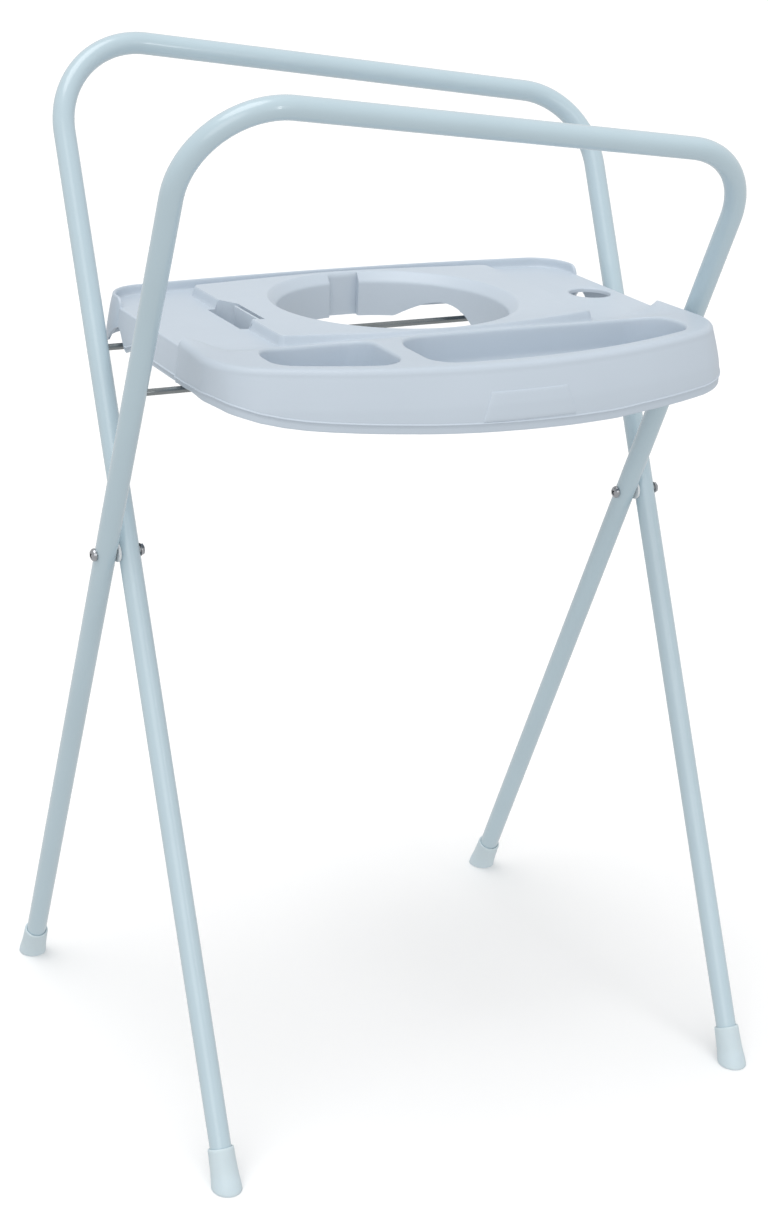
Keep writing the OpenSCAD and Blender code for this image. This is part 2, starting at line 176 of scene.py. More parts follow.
def rail(name, d, body):
    path, tang = [], []

    def add(u, v, tu, tv):
        path.append((u, v))
        tang.append((tu, tv))

    bottom, tl, tr_ = -(LEG - 12.5), RISE_L - T_L, RISE_R - T_R
    for v in np.linspace(bottom, tl, 34):
        add(-HALF, v, 0, 1)
    n = 30
    for a in np.linspace(math.pi, math.pi / 2 - SLOPE, n)[1:]:
        add(-HALF + BEND + BEND * math.cos(a), tl + BEND * math.sin(a), math.sin(a), -math.cos(a))
    for a in np.linspace(math.pi / 2 - SLOPE, 0, n):
        add(HALF - BEND + BEND * math.cos(a), tr_ + BEND * math.sin(a), math.sin(a), -math.cos(a))
    for v in np.linspace(tr_, bottom, 30)[1:]:
        add(HALF, v, 0, -1)
    seg = 56
    verts, faces = [], []
    flat = []
    for r in (TUBE_R, TUBE_I):
        ring0 = len(flat)
        for (u, v), (tu, tv) in zip(path, tang):
            nu, nv = -tv, tu
            for k in range(seg):
                a = 2 * math.pi * k / seg
                flat.append(in_frame(d, u + nu * r * math.cos(a), v + nv * r * math.cos(a), r * math.sin(a)))
        for i in range(len(path) - 1):
            for k in range(seg):
                a, b = ring0 + i * seg + k, ring0 + i * seg + (k + 1) % seg
                faces.append((a, b, b + seg, a + seg) if r == TUBE_R else (a, a + seg, b + seg, b))
    m = len(path) * seg
    for k in range(seg):
        a, b = k, (k + 1) % seg
        faces.append((a, m + a, m + b, b))
        e = (len(path) - 1) * seg
        faces.append((e + a, e + b, m + e + b, m + e + a))
    ob = new_object(name + "_skin", flat, faces, body, M_TUBE, 50)
    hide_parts(name)
    return ob


rail("front_rail_tube", 1, "front_bar_frame")
rail("rear_rail_tube", -1, "rear_bar_frame")


# ------------------------------------------------------------------ foot caps
def foot(name, d, side, body):
    prof = [(-9, 13.9), (-4, 14.0), (2, 14.0), (6, 13.75), (10, 13.3), (14, 12.9), (20, 12.6), (26, 12.38), (31, 12.25), (35.2, 12.2), (36.4, 12.12), (37.2, 11.9), (37.75, 11.45), (38, 10.95)]
    vs = np.array([p[0] for p in prof], float)
    rs = np.array([p[1] for p in prof], float)
    u0 = side * HALF
    seg = 72
    rows = 22
    verts, faces = [], []

    def pt(v, r, a):
        return in_frame(d, u0 + r * math.cos(a), -LEG + v, r * math.sin(a))

    cols = []
    for k in range(seg):
        a = 2 * math.pi * k / seg
        lo_, hi_ = -12.0, 20.0
        for _ in range(40):
            mid = (lo_ + hi_) / 2
            if pt(mid, np.interp(mid, vs, rs), a)[2] > 0:
                hi_ = mid
            else:
                lo_ = mid
        v0 = (lo_ + hi_) / 2
        col = []
        r0 = np.interp(v0, vs, rs)
        p = pt(v0, r0 - 0.9, a)
        p[2] = 0.0
        col.append(p)
        p = pt(v0 + 0.15, r0 - 0.35, a)
        p[2] = 0.2
        col.append(p)
        for v in v0 + 0.8 + (33.0 - v0 - 0.8) * np.linspace(0, 1, rows - 6):
            col.append(pt(v, np.interp(v, vs, rs), a))
        for v, r in [(35.2, 12.2), (36.5, 12.12), (37.3, 11.85), (37.8, 11.45), (38.0, 10.95), (37.9, 10.5), (37.5, 10.15), (36.8, 10.02), (12.5, 10.02)]:
            col.append(pt(v, r, a))
        cols.append(col)
    h = len(cols[0])
    for c in cols:
        verts += c
    for k in range(seg):
        a, b = k * h, ((k + 1) % seg) * h
        for i in range(h - 1):
            faces.append((a + i, b + i, b + i + 1, a + i + 1))
    faces.append(tuple(k * h for k in range(seg))[::-1])
    faces.append(tuple(k * h + h - 1 for k in range(seg)))
    ob = new_object(name + "_skin", verts, faces, body, M_CAP, 50)
    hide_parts(name)


foot("foot_cap_rear_left", 1, -1, "front_bar_frame")
foot("foot_cap_rear_right", 1, 1, "front_bar_frame")
foot("foot_cap_front_left", -1, -1, "rear_bar_frame")
foot("foot_cap_front_right", -1, 1, "rear_bar_frame")

# ------------------------------------------------------------------ tray: outline
BOW_R, BOW_Y, FC_R, FC_X = 520.0, 288.0, 60.0, 189.0
FC_Y = BOW_Y - math.sqrt((BOW_R - FC_R) ** 2 - FC_X ** 2)
FC_A = math.atan2(FC_Y - BOW_Y, FC_X)
REAR_R, REAR_Y, RC_R = 2339.0, 147.0, 38.0


def outline_half(hw):
    """Half of the outline with its side at hw, from the middle of the front to the middle of the back, and outward normals."""
    RC_X = hw - RC_R
    RC_Y = REAR_Y - REAR_R + math.sqrt((REAR_R - RC_R) ** 2 - RC_X ** 2)
    RC_A = math.atan2(RC_Y - REAR_Y + REAR_R, RC_X)
    P, N = [], []

    def add(x, y, nx, ny):
        P.append((x, y))
        N.append((nx, ny))

    n = 46
    for a in np.linspace(-math.pi / 2, FC_A, n)[:-1]:
        add(BOW_R * math.cos(a), BOW_Y + BOW_R * math.sin(a), math.cos(a), math.sin(a))
    for a in np.linspace(FC_A, math.radians(4.0), 26):
        add(FC_X + FC_R * math.cos(a), FC_Y + FC_R * math.sin(a), math.cos(a), math.sin(a))
    x5, y5 = P[-1]

    def side_x(y):
        line = x5 + (244.4 - x5) * (y - y5) / (-68 - y5)
        s = float(smooth((y + 69.5) / 9.0))
        return (line if y < -68 else 244.4) * (1 - s) + hw * s

    ys = list(np.linspace(y5, -72, 13)[1:]) + list(np.arange(-71, -58.9, 0.75)) + list(np.arange(-58, 50, 5.0))
    ys += list(np.arange(50, 87, 1.5)) + [87.6, 88.0, 88.12, 88.5, 89.1, 90.0, 91.2, 92.8, 94.6, 96.4, 98.0] + list(np.arange(99.5, RC_Y - 1, 1.5))
    for y in ys:
        phi = math.radians(4.0) * (1 - float(smooth((y - y5) / (-72 - y5))))
        add(side_x(y), y, math.cos(phi), math.sin(phi))
    for a in np.linspace(0, RC_A, 26):
        add(RC_X + RC_R * math.cos(a), RC_Y + RC_R * math.sin(a), math.cos(a), math.sin(a))
    for a in np.linspace(RC_A, math.pi / 2, 44)[1:]:
        add(REAR_R * math.cos(a), REAR_Y - REAR_R + REAR_R * math.sin(a), math.cos(a), math.sin(a))
    return P, N


_P, _N = outline_half(244.4)
_PL, _NL = outline_half(240.0)
OUT = np.array(_P + [(-x, y) for x, y in _PL[-2:0:-1]])
NRM = np.array(_N + [(-x, y) for x, y in _NL[-2:0:-1]])
NO = len(OUT)


def inside_distance(q):
    """Distance from points q to the outline."""
    a, b = OUT, np.roll(OUT, -1, 0)
    ab = b - a
    l2 = (ab ** 2).sum(1)
    out = np.empty(len(q))
    for i0 in range(0, len(q), 400):
        p = q[i0:i0 + 400]
        t = np.clip(((p[:, None] - a[None]) * ab[None]).sum(2) / l2[None], 0, 1)
        c = a[None] + t[..., None] * ab[None]
        out[i0:i0 + 400] = np.sqrt(((p[:, None] - c) ** 2).sum(2)).min(1)
    return out


def in_poly(q, poly):
    x, y = q[:, 0], q[:, 1]
    c = np.zeros(len(q), bool)
    j = len(poly) - 1
    for i in range(len(poly)):
        xi, yi = poly[i]
        xj, yj = poly[j]
        hit = ((yi > y) != (yj > y))
        with np.errstate(divide="ignore", invalid="ignore"):
            xc = (xj - xi) * (y - yi) / (yj - yi) + xi
        c ^= hit & (x < xc)
        j = i
    return c


# plateau polygon
_pl = [(0, -106.3), (20, -106.2), (40, -105.7), (60, -104.4), (80, -102.3), (100, -98.8), (120, -94.8), (140, -90.4), (150, -88)]
_pl += [(151 + 6 * math.cos(a), -82 + 6 * math.sin(a)) for a in np.radians(np.linspace(-78, 0, 6))]
_pl += [(157, y) for y in np.linspace(-74, 112, 26)]
_pl += [(149 + 8 * math.cos(a), 112 + 8 * math.sin(a)) for a in np.radians(np.linspace(0, 82, 8))[1:]]
_pl += [(130, 122.2), (110, 124.8), (90, 127.4), (68, 129.9), (45, 132.2), (22, 134), (0, 134.6)]
_pl = np.array(_pl, float)
PLAT = np.array(list(_pl) + [(-x, y) for x, y in _pl[-2:0:-1]])


def normals_of(poly):
    nx = np.roll(poly, -1, 0) - np.roll(poly, 1, 0)
    nn = np.stack([nx[:, 1], -nx[:, 0]], 1)
    return nn / np.linalg.norm(nn, axis=1)[:, None]


PLAT_N = normals_of(PLAT)


def plateau_distance(q):
    a, b = PLAT, np.roll(PLAT, -1, 0)
    ab = b - a
    l2 = (ab ** 2).sum(1)
    out = np.empty(len(q))
    for i0 in range(0, len(q), 400):
        p = q[i0:i0 + 400]
        t = np.clip(((p[:, None] - a[None]) * ab[None]).sum(2) / l2[None], 0, 1)
        c = a[None] + t[..., None] * ab[None]
        out[i0:i0 + 400] = np.sqrt(((p[:, None] - c) ** 2).sum(2)).min(1)
    return np.where(in_poly(q, PLAT), -out, out)


RIM_D = 6.3


def height(q):
    """Height of the tray's upper surface at points q."""
    q = np.asarray(q, float)
    x, y = q[:, 0], q[:, 1]
    d = inside_distance(q)
    far = smooth(np.abs(x) / 150.0)
    r1 = smooth((-60 - 24 * far - y) / (80 - 35 * far))
    r2 = smooth((-61 - y) / (9 + 1.2 * np.maximum(0, d - RIM_D))) * (1 - smooth((d - 10) / 36.0))
    base = 736 + 9 * (1 - (1 - r1) * (1 - r2))
    e = plateau_distance(q)
    s = 1 - smooth((e + 1.6) / 3.8)
    return base + (745 - base) * s


# ------------------------------------------------------------------ tray: compartments
def comp_front(x):
    return BOW_Y - math.sqrt((BOW_R - 15) ** 2 - x * x)


def comp_loop(x0, x1, y1, r, rl, rr, r0):
    """Outline of a compartment with outward normals (away from the cavity); rl and rr round its rear corners, r0 and r its front ones."""
    P, N = [], []

    def arc(cx, cy, a0, a1, n, skip=0, r=r):
        for a in np.radians(np.linspace(a0, a1, n))[skip:]:
            P.append((cx + r * math.cos(a), cy + r * math.sin(a)))
            N.append((math.cos(a), math.sin(a)))

    arc(x0 + rl, y1 - rl, 180, 90, 18, 0, rl)
    for x in np.linspace(x0 + rl, x1 - rr, max(4, int((x1 - x0 - rl - rr) / 6)))[1:-1]:
        P.append((x, y1))
        N.append((0, 1))
    arc(x1 - rr, y1 - rr, 90, 0, 18, 0, rr)
    def corner(cx, r_):
        cy = BOW_Y - math.sqrt((BOW_R - 15 - r_) ** 2 - cx * cx)
        return cy, math.degrees(math.atan2(cy - BOW_Y, cx))

    fy1, ae = corner(x1 - r, r)
    fy0, ab = corner(x0 + r0, r0)
    for y in np.linspace(y1 - rr, fy1, 4)[1:-1]:
        if y1 - rr > fy1 + 1:
            P.append((x1, y))
            N.append((1, 0))
    slope = lambda x: x / math.sqrt((BOW_R - 15) ** 2 - x * x)
    arc(x1 - r, fy1, 0, ae, 16, 1)
    xb1, xb0 = [(BOW_R - 15) * math.cos(math.radians(a)) for a in (ae, ab)]
    for x in np.linspace(xb1, xb0, max(6, int((xb1 - xb0) / 6)))[1:-1]:
        k = slope(x)
        l = math.hypot(1, k)
        P.append((x, comp_front(x)))
        N.append((k / l, -1 / l))
    arc(x0 + r0, fy0, ab, -180, 16, 0, r0)
    for y in np.linspace(fy0, y1 - rl, 4)[1:-1]:
        if y1 - rl > fy0 + 1:
            P.append((x0, y))
            N.append((-1, 0))
    P, N = np.array(P), np.array(N)
    keep = np.linalg.norm(P - np.roll(P, 1, 0), axis=1) > 0.4
    return P[keep], N[keep]


COMPS = [comp_loop(-200, -89, -111, 26, 38, 24, 22), comp_loop(-69, 212, -111, 28, 48, 40, 24)]
COMP_EDGE = 2.2

# ------------------------------------------------------------------ tray: loops of the top sheet
HX, HY, HR = 2.0, 14.0, 107.7
AX, AY, AR = 214.5, 12.6, 20.0
TH_R, TH_L = math.degrees(math.atan2(114, 17)), math.degrees(math.atan2(114, -13.5))
_th = sorted(set(list(np.arange(0, 360, 1.5)) + [TH_R - 0.05, TH_R + 0.05, TH_R - 0.5, TH_R + 0.6]
                 + [TH_L + k for k in (-1.2, -0.8, -0.4, 0, 0.4, 0.8, 1.2)]))
TH = np.radians(np.array(_th))
TH_A = np.radians(np.arange(0, 360, 5.0))
SLOT = [(-166.0, -19.0), (-145.0, -26.0), (-145.0, 35.0), (-157.0, 57.0), (-166.0, 57.0)]

loops = {}
loops["outer"] = OUT - NRM * RIM_D
loops["hole"] = np.stack([HX + 118 * np.cos(TH), HY + 118 * np.sin(TH)], 1)
loops["acc"] = np.stack([AX + (AR + 1.6) * np.cos(TH_A), AY + (AR + 1.6) * np.sin(TH_A)], 1)
_sl = []
for k in range(len(SLOT)):
    p0, p1 = np.array(SLOT[k]), np.array(SLOT[(k + 1) % len(SLOT)])
    m_ = max(2, int(np.linalg.norm(p1 - p0) / 4))
    _sl += [tuple(p0 + (p1 - p0) * j / m_) for j in range(m_)]
loops["slot"] = np.array(_sl)
for i, (p, n) in enumerate(COMPS):
    loops["comp%d" % i] = p + n * COMP_EDGE

pts, edges = [], []


def add_loop(poly):
    i0 = len(pts)
    pts.extend([tuple(map(float, p)) for p in poly])
    n = len(poly)
    edges.extend([(i0 + k, i0 + (k + 1) % n) for k in range(n)])


for k in loops:
    add_loop(loops[k])
for e in (-1.6, -1.05, -0.55, -0.1, 0.35, 0.85, 1.4, 2.2):
    add_loop(PLAT + PLAT_N * e)
# rings a little inside the rim keep the deck's edge round
for d in (8.5, 12.0, 17.0):
    ring = OUT - NRM * d
    keep = ring[(ring[:, 1] < -62)]
    pts.extend([tuple(map(float, p)) for p in keep])
for p, n in COMPS:
    for d in (4.5, 8.0):
        pts.extend([tuple(map(float, c)) for c in (p + n * d) if -250 < c[0] < 250])

gx, gy = np.meshgrid(np.arange(-245, 246, 5.0), np.arange(-230, 150, 5.0))
grid = np.stack([gx.ravel(), gy.ravel()], 1)
coarse = (grid[:, 1] >= -60) & ((np.abs(np.mod(grid[:, 0] + 245, 15.0)) > 1) | (np.abs(np.mod(grid[:, 1] + 60, 15.0)) > 1))
grid = grid[~coarse]
ok = in_poly(grid, OUT) & (inside_distance(grid) > RIM_D + 2.5)
ok &= np.abs(plateau_distance(grid)) > 4.0
ok &= np.hypot(grid[:, 0] - HX, grid[:, 1] - HY) > 120
ok &= np.hypot(grid[:, 0] - AX, grid[:, 1] - AY) > AR + 4
ok &= ~((grid[:, 0] > -169) & (grid[:, 0] < -142) & (grid[:, 1] > -29) & (grid[:, 1] < 60))
for i in (0, 1):
    c = loops["comp%d" % i]
    big = COMPS[i][0] + COMPS[i][1] * (COMP_EDGE + 2.0)
    ok &= ~in_poly(grid, big)
pts.extend([tuple(map(float, p)) for p in grid[ok]])

vc, ec, fc = delaunay_2d_cdt([Vector(p) for p in pts], edges, [], 0, 1e-5, False)[:3]
V2 = np.array([(v.x, v.y) for v in vc])
T = [tuple(f) for f in fc]
cen = np.array([V2[list(f)].mean(0) for f in T])
inside = in_poly(cen, loops["outer"])
for k in loops:
    if k != "outer":
        inside &= ~in_poly(cen, loops[k])
T = [t for t, o in zip(T, inside) if o]
Z = height(V2)

verts = [(x, y, z) for (x, y), z in zip(V2, Z)]
faces = list(T)

# boundary loops of the sheet
count = {}
for t in T:
    for a, b in zip(t, t[1:] + t[:1]):
        count[(a, b)] = 1
nxt = {}
for (a, b) in count:
    if (b, a) not in count:
        nxt[a] = b
rest, found = set(nxt), []
while rest:
    a = min(rest)
    loop = [a]
    rest.discard(a)
    b = nxt[a]
    while b != a:
        loop.append(b)
        rest.discard(b)
        b = nxt[b]
        assert len(loop) <= len(nxt), (V2[a], V2[b])
    found.append(loop)


def name_of(loop):
    c = V2[loop].mean(0)
    span = np.ptp(V2[loop], axis=0)
    if span[0] > 400:
        return "outer"
    best = min((k for k in loops if k != "outer"), key=lambda k: np.linalg.norm(loops[k].mean(0) - c))
    return best


boundary = {name_of(l): l for l in found}
assert sorted(boundary) == sorted(loops), (sorted(boundary), sorted(loops))


def strip(prev, ring):
    """Adds a ring of vertices below the ring prev, keeping the loop's direction, and returns its indices."""
    i0 = len(verts)
    verts.extend([tuple(map(float, p)) for p in ring])
    n = len(prev)
    new = list(range(i0, i0 + n))
    for k in range(n):
        a, b = prev[k], prev[(k + 1) % n]
        faces.append((b, a, new[k], new[(k + 1) % n]))
    return new


def match(points, table):
    """For each point the row of the table nearest to it."""
    d = ((points[:, None] - table[None]) ** 2).sum(2)
    i = d.argmin(1)
    assert math.sqrt(d[np.arange(len(i)), i].max()) < 0.05, math.sqrt(d[np.arange(len(i)), i].max())
    return i


# ---- outer rim and skirt
# height of the lower edge in front against the angle round the tray's middle, left to right
LIP_A = [-72, -70, -66, -60, -57, -54.6, -52.8, -51.1, -49.5, -46.2, -42.4, -38.5, -32.3, -25.8, -19, -14.4, -9.6, -4.8, 0,
         12, 24, 30, 48, 51, 54.6, 58, 62, 66, 70]
LIP_Z = [706.4, 706.8, 707.8, 707.8, 707.1, 706.3, 705.2, 703.3, 701.1, 698.0, 695.8, 694.5, 693.0, 691.8, 690.5, 689.9,
         689.3, 688.9, 688.5, 687.7, 687.3, 688.3, 689.0, 690.3, 692.0, 695.0, 700.0, 704.5, 706.4]


def lip(x, y):
    front = np.interp(np.degrees(np.arctan2(x, -y)), LIP_A, LIP_Z)
    mid = np.where(y > 60, 701.0, np.where(y > 45, 706.4 - 5.4 * (y - 45) / 15, 706.4))
    return np.where(y > -70, mid, front)


def arch_z(t, z0, h):
    """Height of an arch at t from its middle, 1 at its foot."""
    t = np.abs(t)
    u = (-0.55 + np.sqrt(0.55 ** 2 + 4 * 0.45 * np.minimum(t, 1))) / 0.9
    return np.where(t < 1, z0 + 4 + (h - 4) * (1 - u * u), -1e3)


FL_Z = [745, 741, 738, 730, 720, 712, 703, 695, 689, 680]
FL_E = [0.0, 2.0, 3.4, 5.8, 8.5, 10.4, 11.7, 12.5, 12.8, 13.0]


def flare(z):
    return np.interp(z, FL_Z[::-1], FL_E[::-1])


idx = match(V2[boundary["outer"]], loops["outer"])
ox, oy = OUT[idx, 0], OUT[idx, 1]
nx, ny = NRM[idx, 0], NRM[idx, 1]
front_w = smooth((-61 - oy) / 9.0)
t_ = np.clip((oy - 87.95) / 9.0, 0, 1)
rear_w = np.where(oy > 87.95, np.sqrt(np.clip(1 - (1 - np.maximum(t_, 0.0)) ** 2, 0, 1)), 0.0)
D = np.array([6.3, 5.2, 4.4, 3.9, 3.6, 3.45, 3.3, 2.9, 2.3, 1.6, 0.9, 0.4, 0.1, 0.0])
Z_REAR = np.array([736, 736.1, 736.5, 737.3, 738.6, 740.8, 743.4, 744.55, 745, 745, 744.8, 744.3, 743.5, 742.3])
Z_SIDE = np.array([736] * 9 + [735.95, 735.7, 735.3, 734.8, 733.8])
Z_FRONT = 738.7 + np.sqrt(np.maximum(0, 6.3 ** 2 - (6.3 - D) ** 2))
ring = boundary["outer"]
zr0 = Z[boundary["outer"]]
for k in range(1, len(D)):
    low = Z_SIDE[k] * (1 - rear_w) + Z_REAR[k] * rear_w
    z = low * (1 - front_w) + Z_FRONT[k] * front_w
    ring = strip(ring, np.stack([ox - nx * D[k], oy - ny * D[k], z], 1))
z_edge = np.array([verts[i][2] for i in ring])

z_low = lip(ox, oy)
side = np.abs(nx) > 0.9
a_side = np.where(ox > 0, arch_z((oy - 76) / 29.0, 690, 33), arch_z((oy - 85) / 27.0, 690, 29))
z_bot = np.where(side, np.maximum(z_low, a_side), z_low)
arch_mask = np.clip((z_bot - z_low) / 3.0, 0, 1)
# how far the skirt spreads outward: most at the front, little at the sides and the back
k_front = smooth((-100 - oy) / 25.0)
k_side = np.where(oy < 0, 0.30, 0.30)
K = k_side + (1 - k_side) * k_front
K = np.where(oy > 100, 0.30 + 0.14 * smooth((oy - 100) / 30.0), K)
K = np.where(ox < 0, np.interp(oy, [-175, -168, -161, -153, -145, -100, -90, -81, -71, -65, -60, 0, 60],
                               [1, 0.76, 0.34, 0.09, 0, 0, 0.12, 0.17, 0.24, 0.58, 0.87, 0.87, 0.62]), K)
hb = 4.8 + 3.0 * smooth((-95 - oy) / 60.0)      # height of the bead above the lower edge


def skirt(z, extra=0.0):
    e = flare(z) * K - flare(z_edge) * K + extra
    e = np.maximum(e, -1.2)
    x, y = ox + nx * e, oy + ny * e
    lim = np.where(oy > -112, 254.3, 1e3)
    return np.stack([np.clip(x, -lim, lim), y, z], 1)


z_mid = z_bot + (hb + 1.6) * (1 - arch_mask) + 1.0 * arch_mask
z_mid = np.minimum(z_mid, z_edge - 1)
for t in np.concatenate([[0.06], np.linspace(0.14, 1, 13)]):
    ring = strip(ring, skirt(z_edge + (z_mid - z_edge) * t))
for dz, ex in [(1.0, 0.0), (0.75, 0.35), (0.45, 0.65), (0.1, 0.78), (-0.25, 0.7), (-0.5, 0.3), (-0.75, -0.45), (-1.2, -0.7)]:
    f = (hb + dz) / (hb + 1.6)
    zz = z_bot + (z_mid - z_bot) * f
    ring = strip(ring, skirt(zz, ex * (1 - arch_mask)))
for f, ex in [(0.45, -0.7), (0.12, -0.7), (0.04, -0.78), (0.0, -1.0)]:
    zz = z_bot + (z_mid - z_bot) * f
    ring = strip(ring, skirt(zz, ex * (1 - arch_mask)))

# ---- large opening
idx = match(V2[boundary["hole"]], loops["hole"])
th = TH[idx]
deg = np.degrees(th)
inrec = np.clip(np.minimum((deg - TH_R) / 0.05 + 0.5, (TH_L + 1.3 - deg) / 2.4), 0, 1)
rec_w = smooth(inrec)
rec_r = 114.0 / np.maximum(np.sin(th), 0.2)
prof = [(117.6, 744.97), (117.0, 744.8), (116.3, 744.4), (115.4, 743.65), (113, 741.3), (110.6, 738.95), (109.1, 737.4), (108.4, 736.5), (107.95, 735.6), (107.75, 734.6), (107.7, 733.4)]
ring = boundary["hole"]


def hole_ring(r, z):
    rr = np.where(rec_w > 0, r + (np.maximum(r, rec_r) - r) * rec_w, r)
    return np.stack([HX + rr * np.cos(th), HY + rr * np.sin(th), z * np.ones_like(th)], 1)


for r, z in prof:
    ring = strip(ring, hole_ring(r, z))
hy = HY + HR * np.sin(th)
hx = HX + HR * np.cos(th)
zb = 703.0 * np.ones_like(th)
ua = (hy - 78) / 39.0
zb = np.where((np.abs(hx) >= 38) & (hy > 0), np.maximum(zb, 694 + 26 * (1 - ua * ua)), zb)
ub = (hy + 78) / 15.0
zb = np.where((np.abs(hx) < 80) & (hy < 0), np.maximum(zb, 694 + 16 * (1 - ub * ub)), zb)
for t in np.linspace(0, 1, 8)[1:]:
    ring = strip(ring, hole_ring(107.7 - 0.3 * t, 733.4 + (zb - 733.4) * t))

# ---- accessory hole
idx = match(V2[boundary["acc"]], loops["acc"])
ta = TH_A[idx]
ring = boundary["acc"]
for r, z in [(21.2, 735.93), (20.75, 735.7), (20.35, 735.3), (20.1, 734.8), (20.0, 734.1)]:
    ring = strip(ring, np.stack([AX + r * np.cos(ta), AY + r * np.sin(ta), z * np.ones_like(ta)], 1))
for z in (733.2, 732.3, 732.0):
    ring = strip(ring, np.stack([AX + AR * np.cos(ta), AY + AR * np.sin(ta), z * np.ones_like(ta)], 1))

# ---- latch slot
ring = boundary["slot"]
q = V2[ring]
zs = Z[ring]
zl = np.where(q[:, 0] > -146.0, 738.0, 714.0)      # shallow along the plateau, deep elsewhere
for t in (0.03, 0.5, 1.0):
    ring = strip(ring, np.stack([q[:, 0], q[:, 1], zs + (zl - zs) * t], 1))

# ---- compartments
for i, (p, n) in enumerate(COMPS):
    loop = boundary["comp%d" % i]
    idx = match(V2[loop], loops["comp%d" % i])
    cp, cn = p[idx], n[idx]
    z0 = Z[loop]
    ring = loop
    zf = 712.0
    for o, dz in [(1.7, 0.08), (1.0, 0.32), (0.45, 0.75), (0.0, 1.35), (-0.35, 2.1), (-0.6, 3.1)]:
        q = cp + cn * o
        ring = strip(ring, np.stack([q[:, 0], q[:, 1], z0 - dz], 1))
    z1 = z0 - 3.1
    for t in np.linspace(0, 1, 7)[1:]:
        q = cp + cn * (-0.6 - 1.5 * t)
        ring = strip(ring, np.stack([q[:, 0], q[:, 1], z1 + (zf + 7 - z1) * t], 1))
    for a in np.radians([15, 30, 45, 60, 75, 90]):
        q = cp + cn * (-2.1 - 7 * (1 - math.cos(a)))
        ring = strip(ring, np.stack([q[:, 0], q[:, 1], np.full(len(q), zf + 7 - 7 * math.sin(a))], 1))
    # floor
    rv = [Vector(verts[k][:2]) for k in ring]
    inner = [Vector((x, y)) for x in np.arange(-190, 205, 12.0) for y in np.arange(-205, -110, 12.0)]
    poly = np.array([(v.x, v.y) for v in rv])
    cc = np.array([(v.x, v.y) for v in inner])
    sel = in_poly(cc, poly)
    dd = np.sqrt(((cc[:, None] - poly[None]) ** 2).sum(2)).min(1) > 4
    inner = [v for v, o in zip(inner, sel & dd) if o]
    n_ = len(rv)
    r = delaunay_2d_cdt(rv + inner, [(k, (k + 1) % n_) for k in range(n_)], [], 1, 1e-5, True)
    base_i = len(verts)
    remap = {}
    for j, v in enumerate(r[0]):
        src = [s for s in r[3][j] if s < n_]
        if src:
            remap[j] = ring[src[0]]
        else:
            remap[j] = len(verts)
            verts.append((v.x, v.y, zf))
    for f in r[2]:
        faces.append(tuple(remap[j] for j in f))

tray = new_object("tray_shell", verts, faces, "tray", M_TRAY, 40)


def orient_up(ob):
    """Makes the open sheet's normals point out of the moulding (up on the deck)."""
    me = ob.data
    up = sum(p.normal.z * p.area for p in me.polygons if p.center.z > 0.7355)
    if up < 0:
        me.flip_normals()


orient_up(tray)
sol = tray.modifiers.new("wall", "SOLIDIFY")
sol.thickness = 0.0026
sol.offset = -1.0
sol.use_even_offset = True
sol.use_quality_normals = True
sol.use_rim = True
dg = bpy.context.evaluated_depsgraph_get()
done = bpy.data.meshes.new_from_object(tray.evaluated_get(dg))
tray.modifiers.clear()
old = tray.data
tray.data = done
bpy.data.meshes.remove(old)
done.name = "tray_shell"
for p in done.polygons:
    p.use_smooth = True
done.set_sharp_from_angle(angle=math.radians(40))
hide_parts("tray_moulding")


# ------------------------------------------------------------------ tray: parts of the same moulding
def rounded_block(name, lo, hi, r, profile=None):
    bm = bmesh.new()
    bmesh.ops.create_cube(bm, size=1.0)
    for v in bm.verts:
        v.co = Vector([(lo[i] + hi[i]) / 2 + v.co[i] * (hi[i] - lo[i]) for i in range(3)])
    bmesh.ops.bevel(bm, geom=list(bm.edges), offset=r, segments=3, affect="EDGES", profile=0.5)
    vs = [tuple(v.co) for v in bm.verts]
    bm.verts.index_update()
    fs = [tuple(v.index for v in f.verts) for f in bm.faces]
    bm.free()
    return vs, fs


parts = []
parts.append(rounded_block("tongue", (-150.2, -27.5, 712), (-147.9, 33.0, 744.2), 0.5))
parts.append(rounded_block("tongue_foot", (-163.0, -26.0, 712), (-147.0, -22.5, 734.5), 0.6))


def plate_x(x0, x1, side_pts):
    """A flat plate between x0 and x1 whose outline is given in (y, z)."""
    n = len(side_pts)
    vs = [(x0, y, z) for y, z in side_pts] + [(x1, y, z) for y, z in side_pts]
    fs = [tuple(range(n))[::-1], tuple(range(n, 2 * n))]
    fs += [(k, (k + 1) % n, n + (k + 1) % n, n + k) for k in range(n)]
    return vs, fs


def rib(x, top, y0, y1):
    # lower edge from front to back with the clearances over both rods
    low = [(y0, top), (y0, 706.6)]
    if y0 > 0:
        pass
    elif abs(x) < 150:
        low += [(-ROD_Y - 19, 706.6), (-ROD_Y - 19, 713.2), (-ROD_Y + 8.4, 713.2), (-ROD_Y + 8.4, 706.6)]
    else:
        low += [(-ROD_Y - 3.7, 706.6)]
        low += [(-ROD_Y + 3.7 * math.cos(a), ROD_Z + 3.7 * math.sin(a)) for a in np.radians(np.linspace(112, 68, 5))]
        low += [(-ROD_Y + 3.7, 706.6)]
    if y1 < 0:
        return plate_x(x - 1.5, x + 1.5, low + [(y1, 706.6), (y1, top)])
    low += [(ROD_Y - 9.5, 706.4), (ROD_Y - 3.7, ROD_Z + 1.6), (ROD_Y - 1.9, ROD_Z + 3.5), (ROD_Y + 1.9, ROD_Z + 3.5), (ROD_Y + 3.5, ROD_Z + 1.6), (ROD_Y + 3.5, 701.2)]
    low += [(y1, 701.2), (y1, top)]
    return plate_x(x - 1.5, x + 1.5, low)


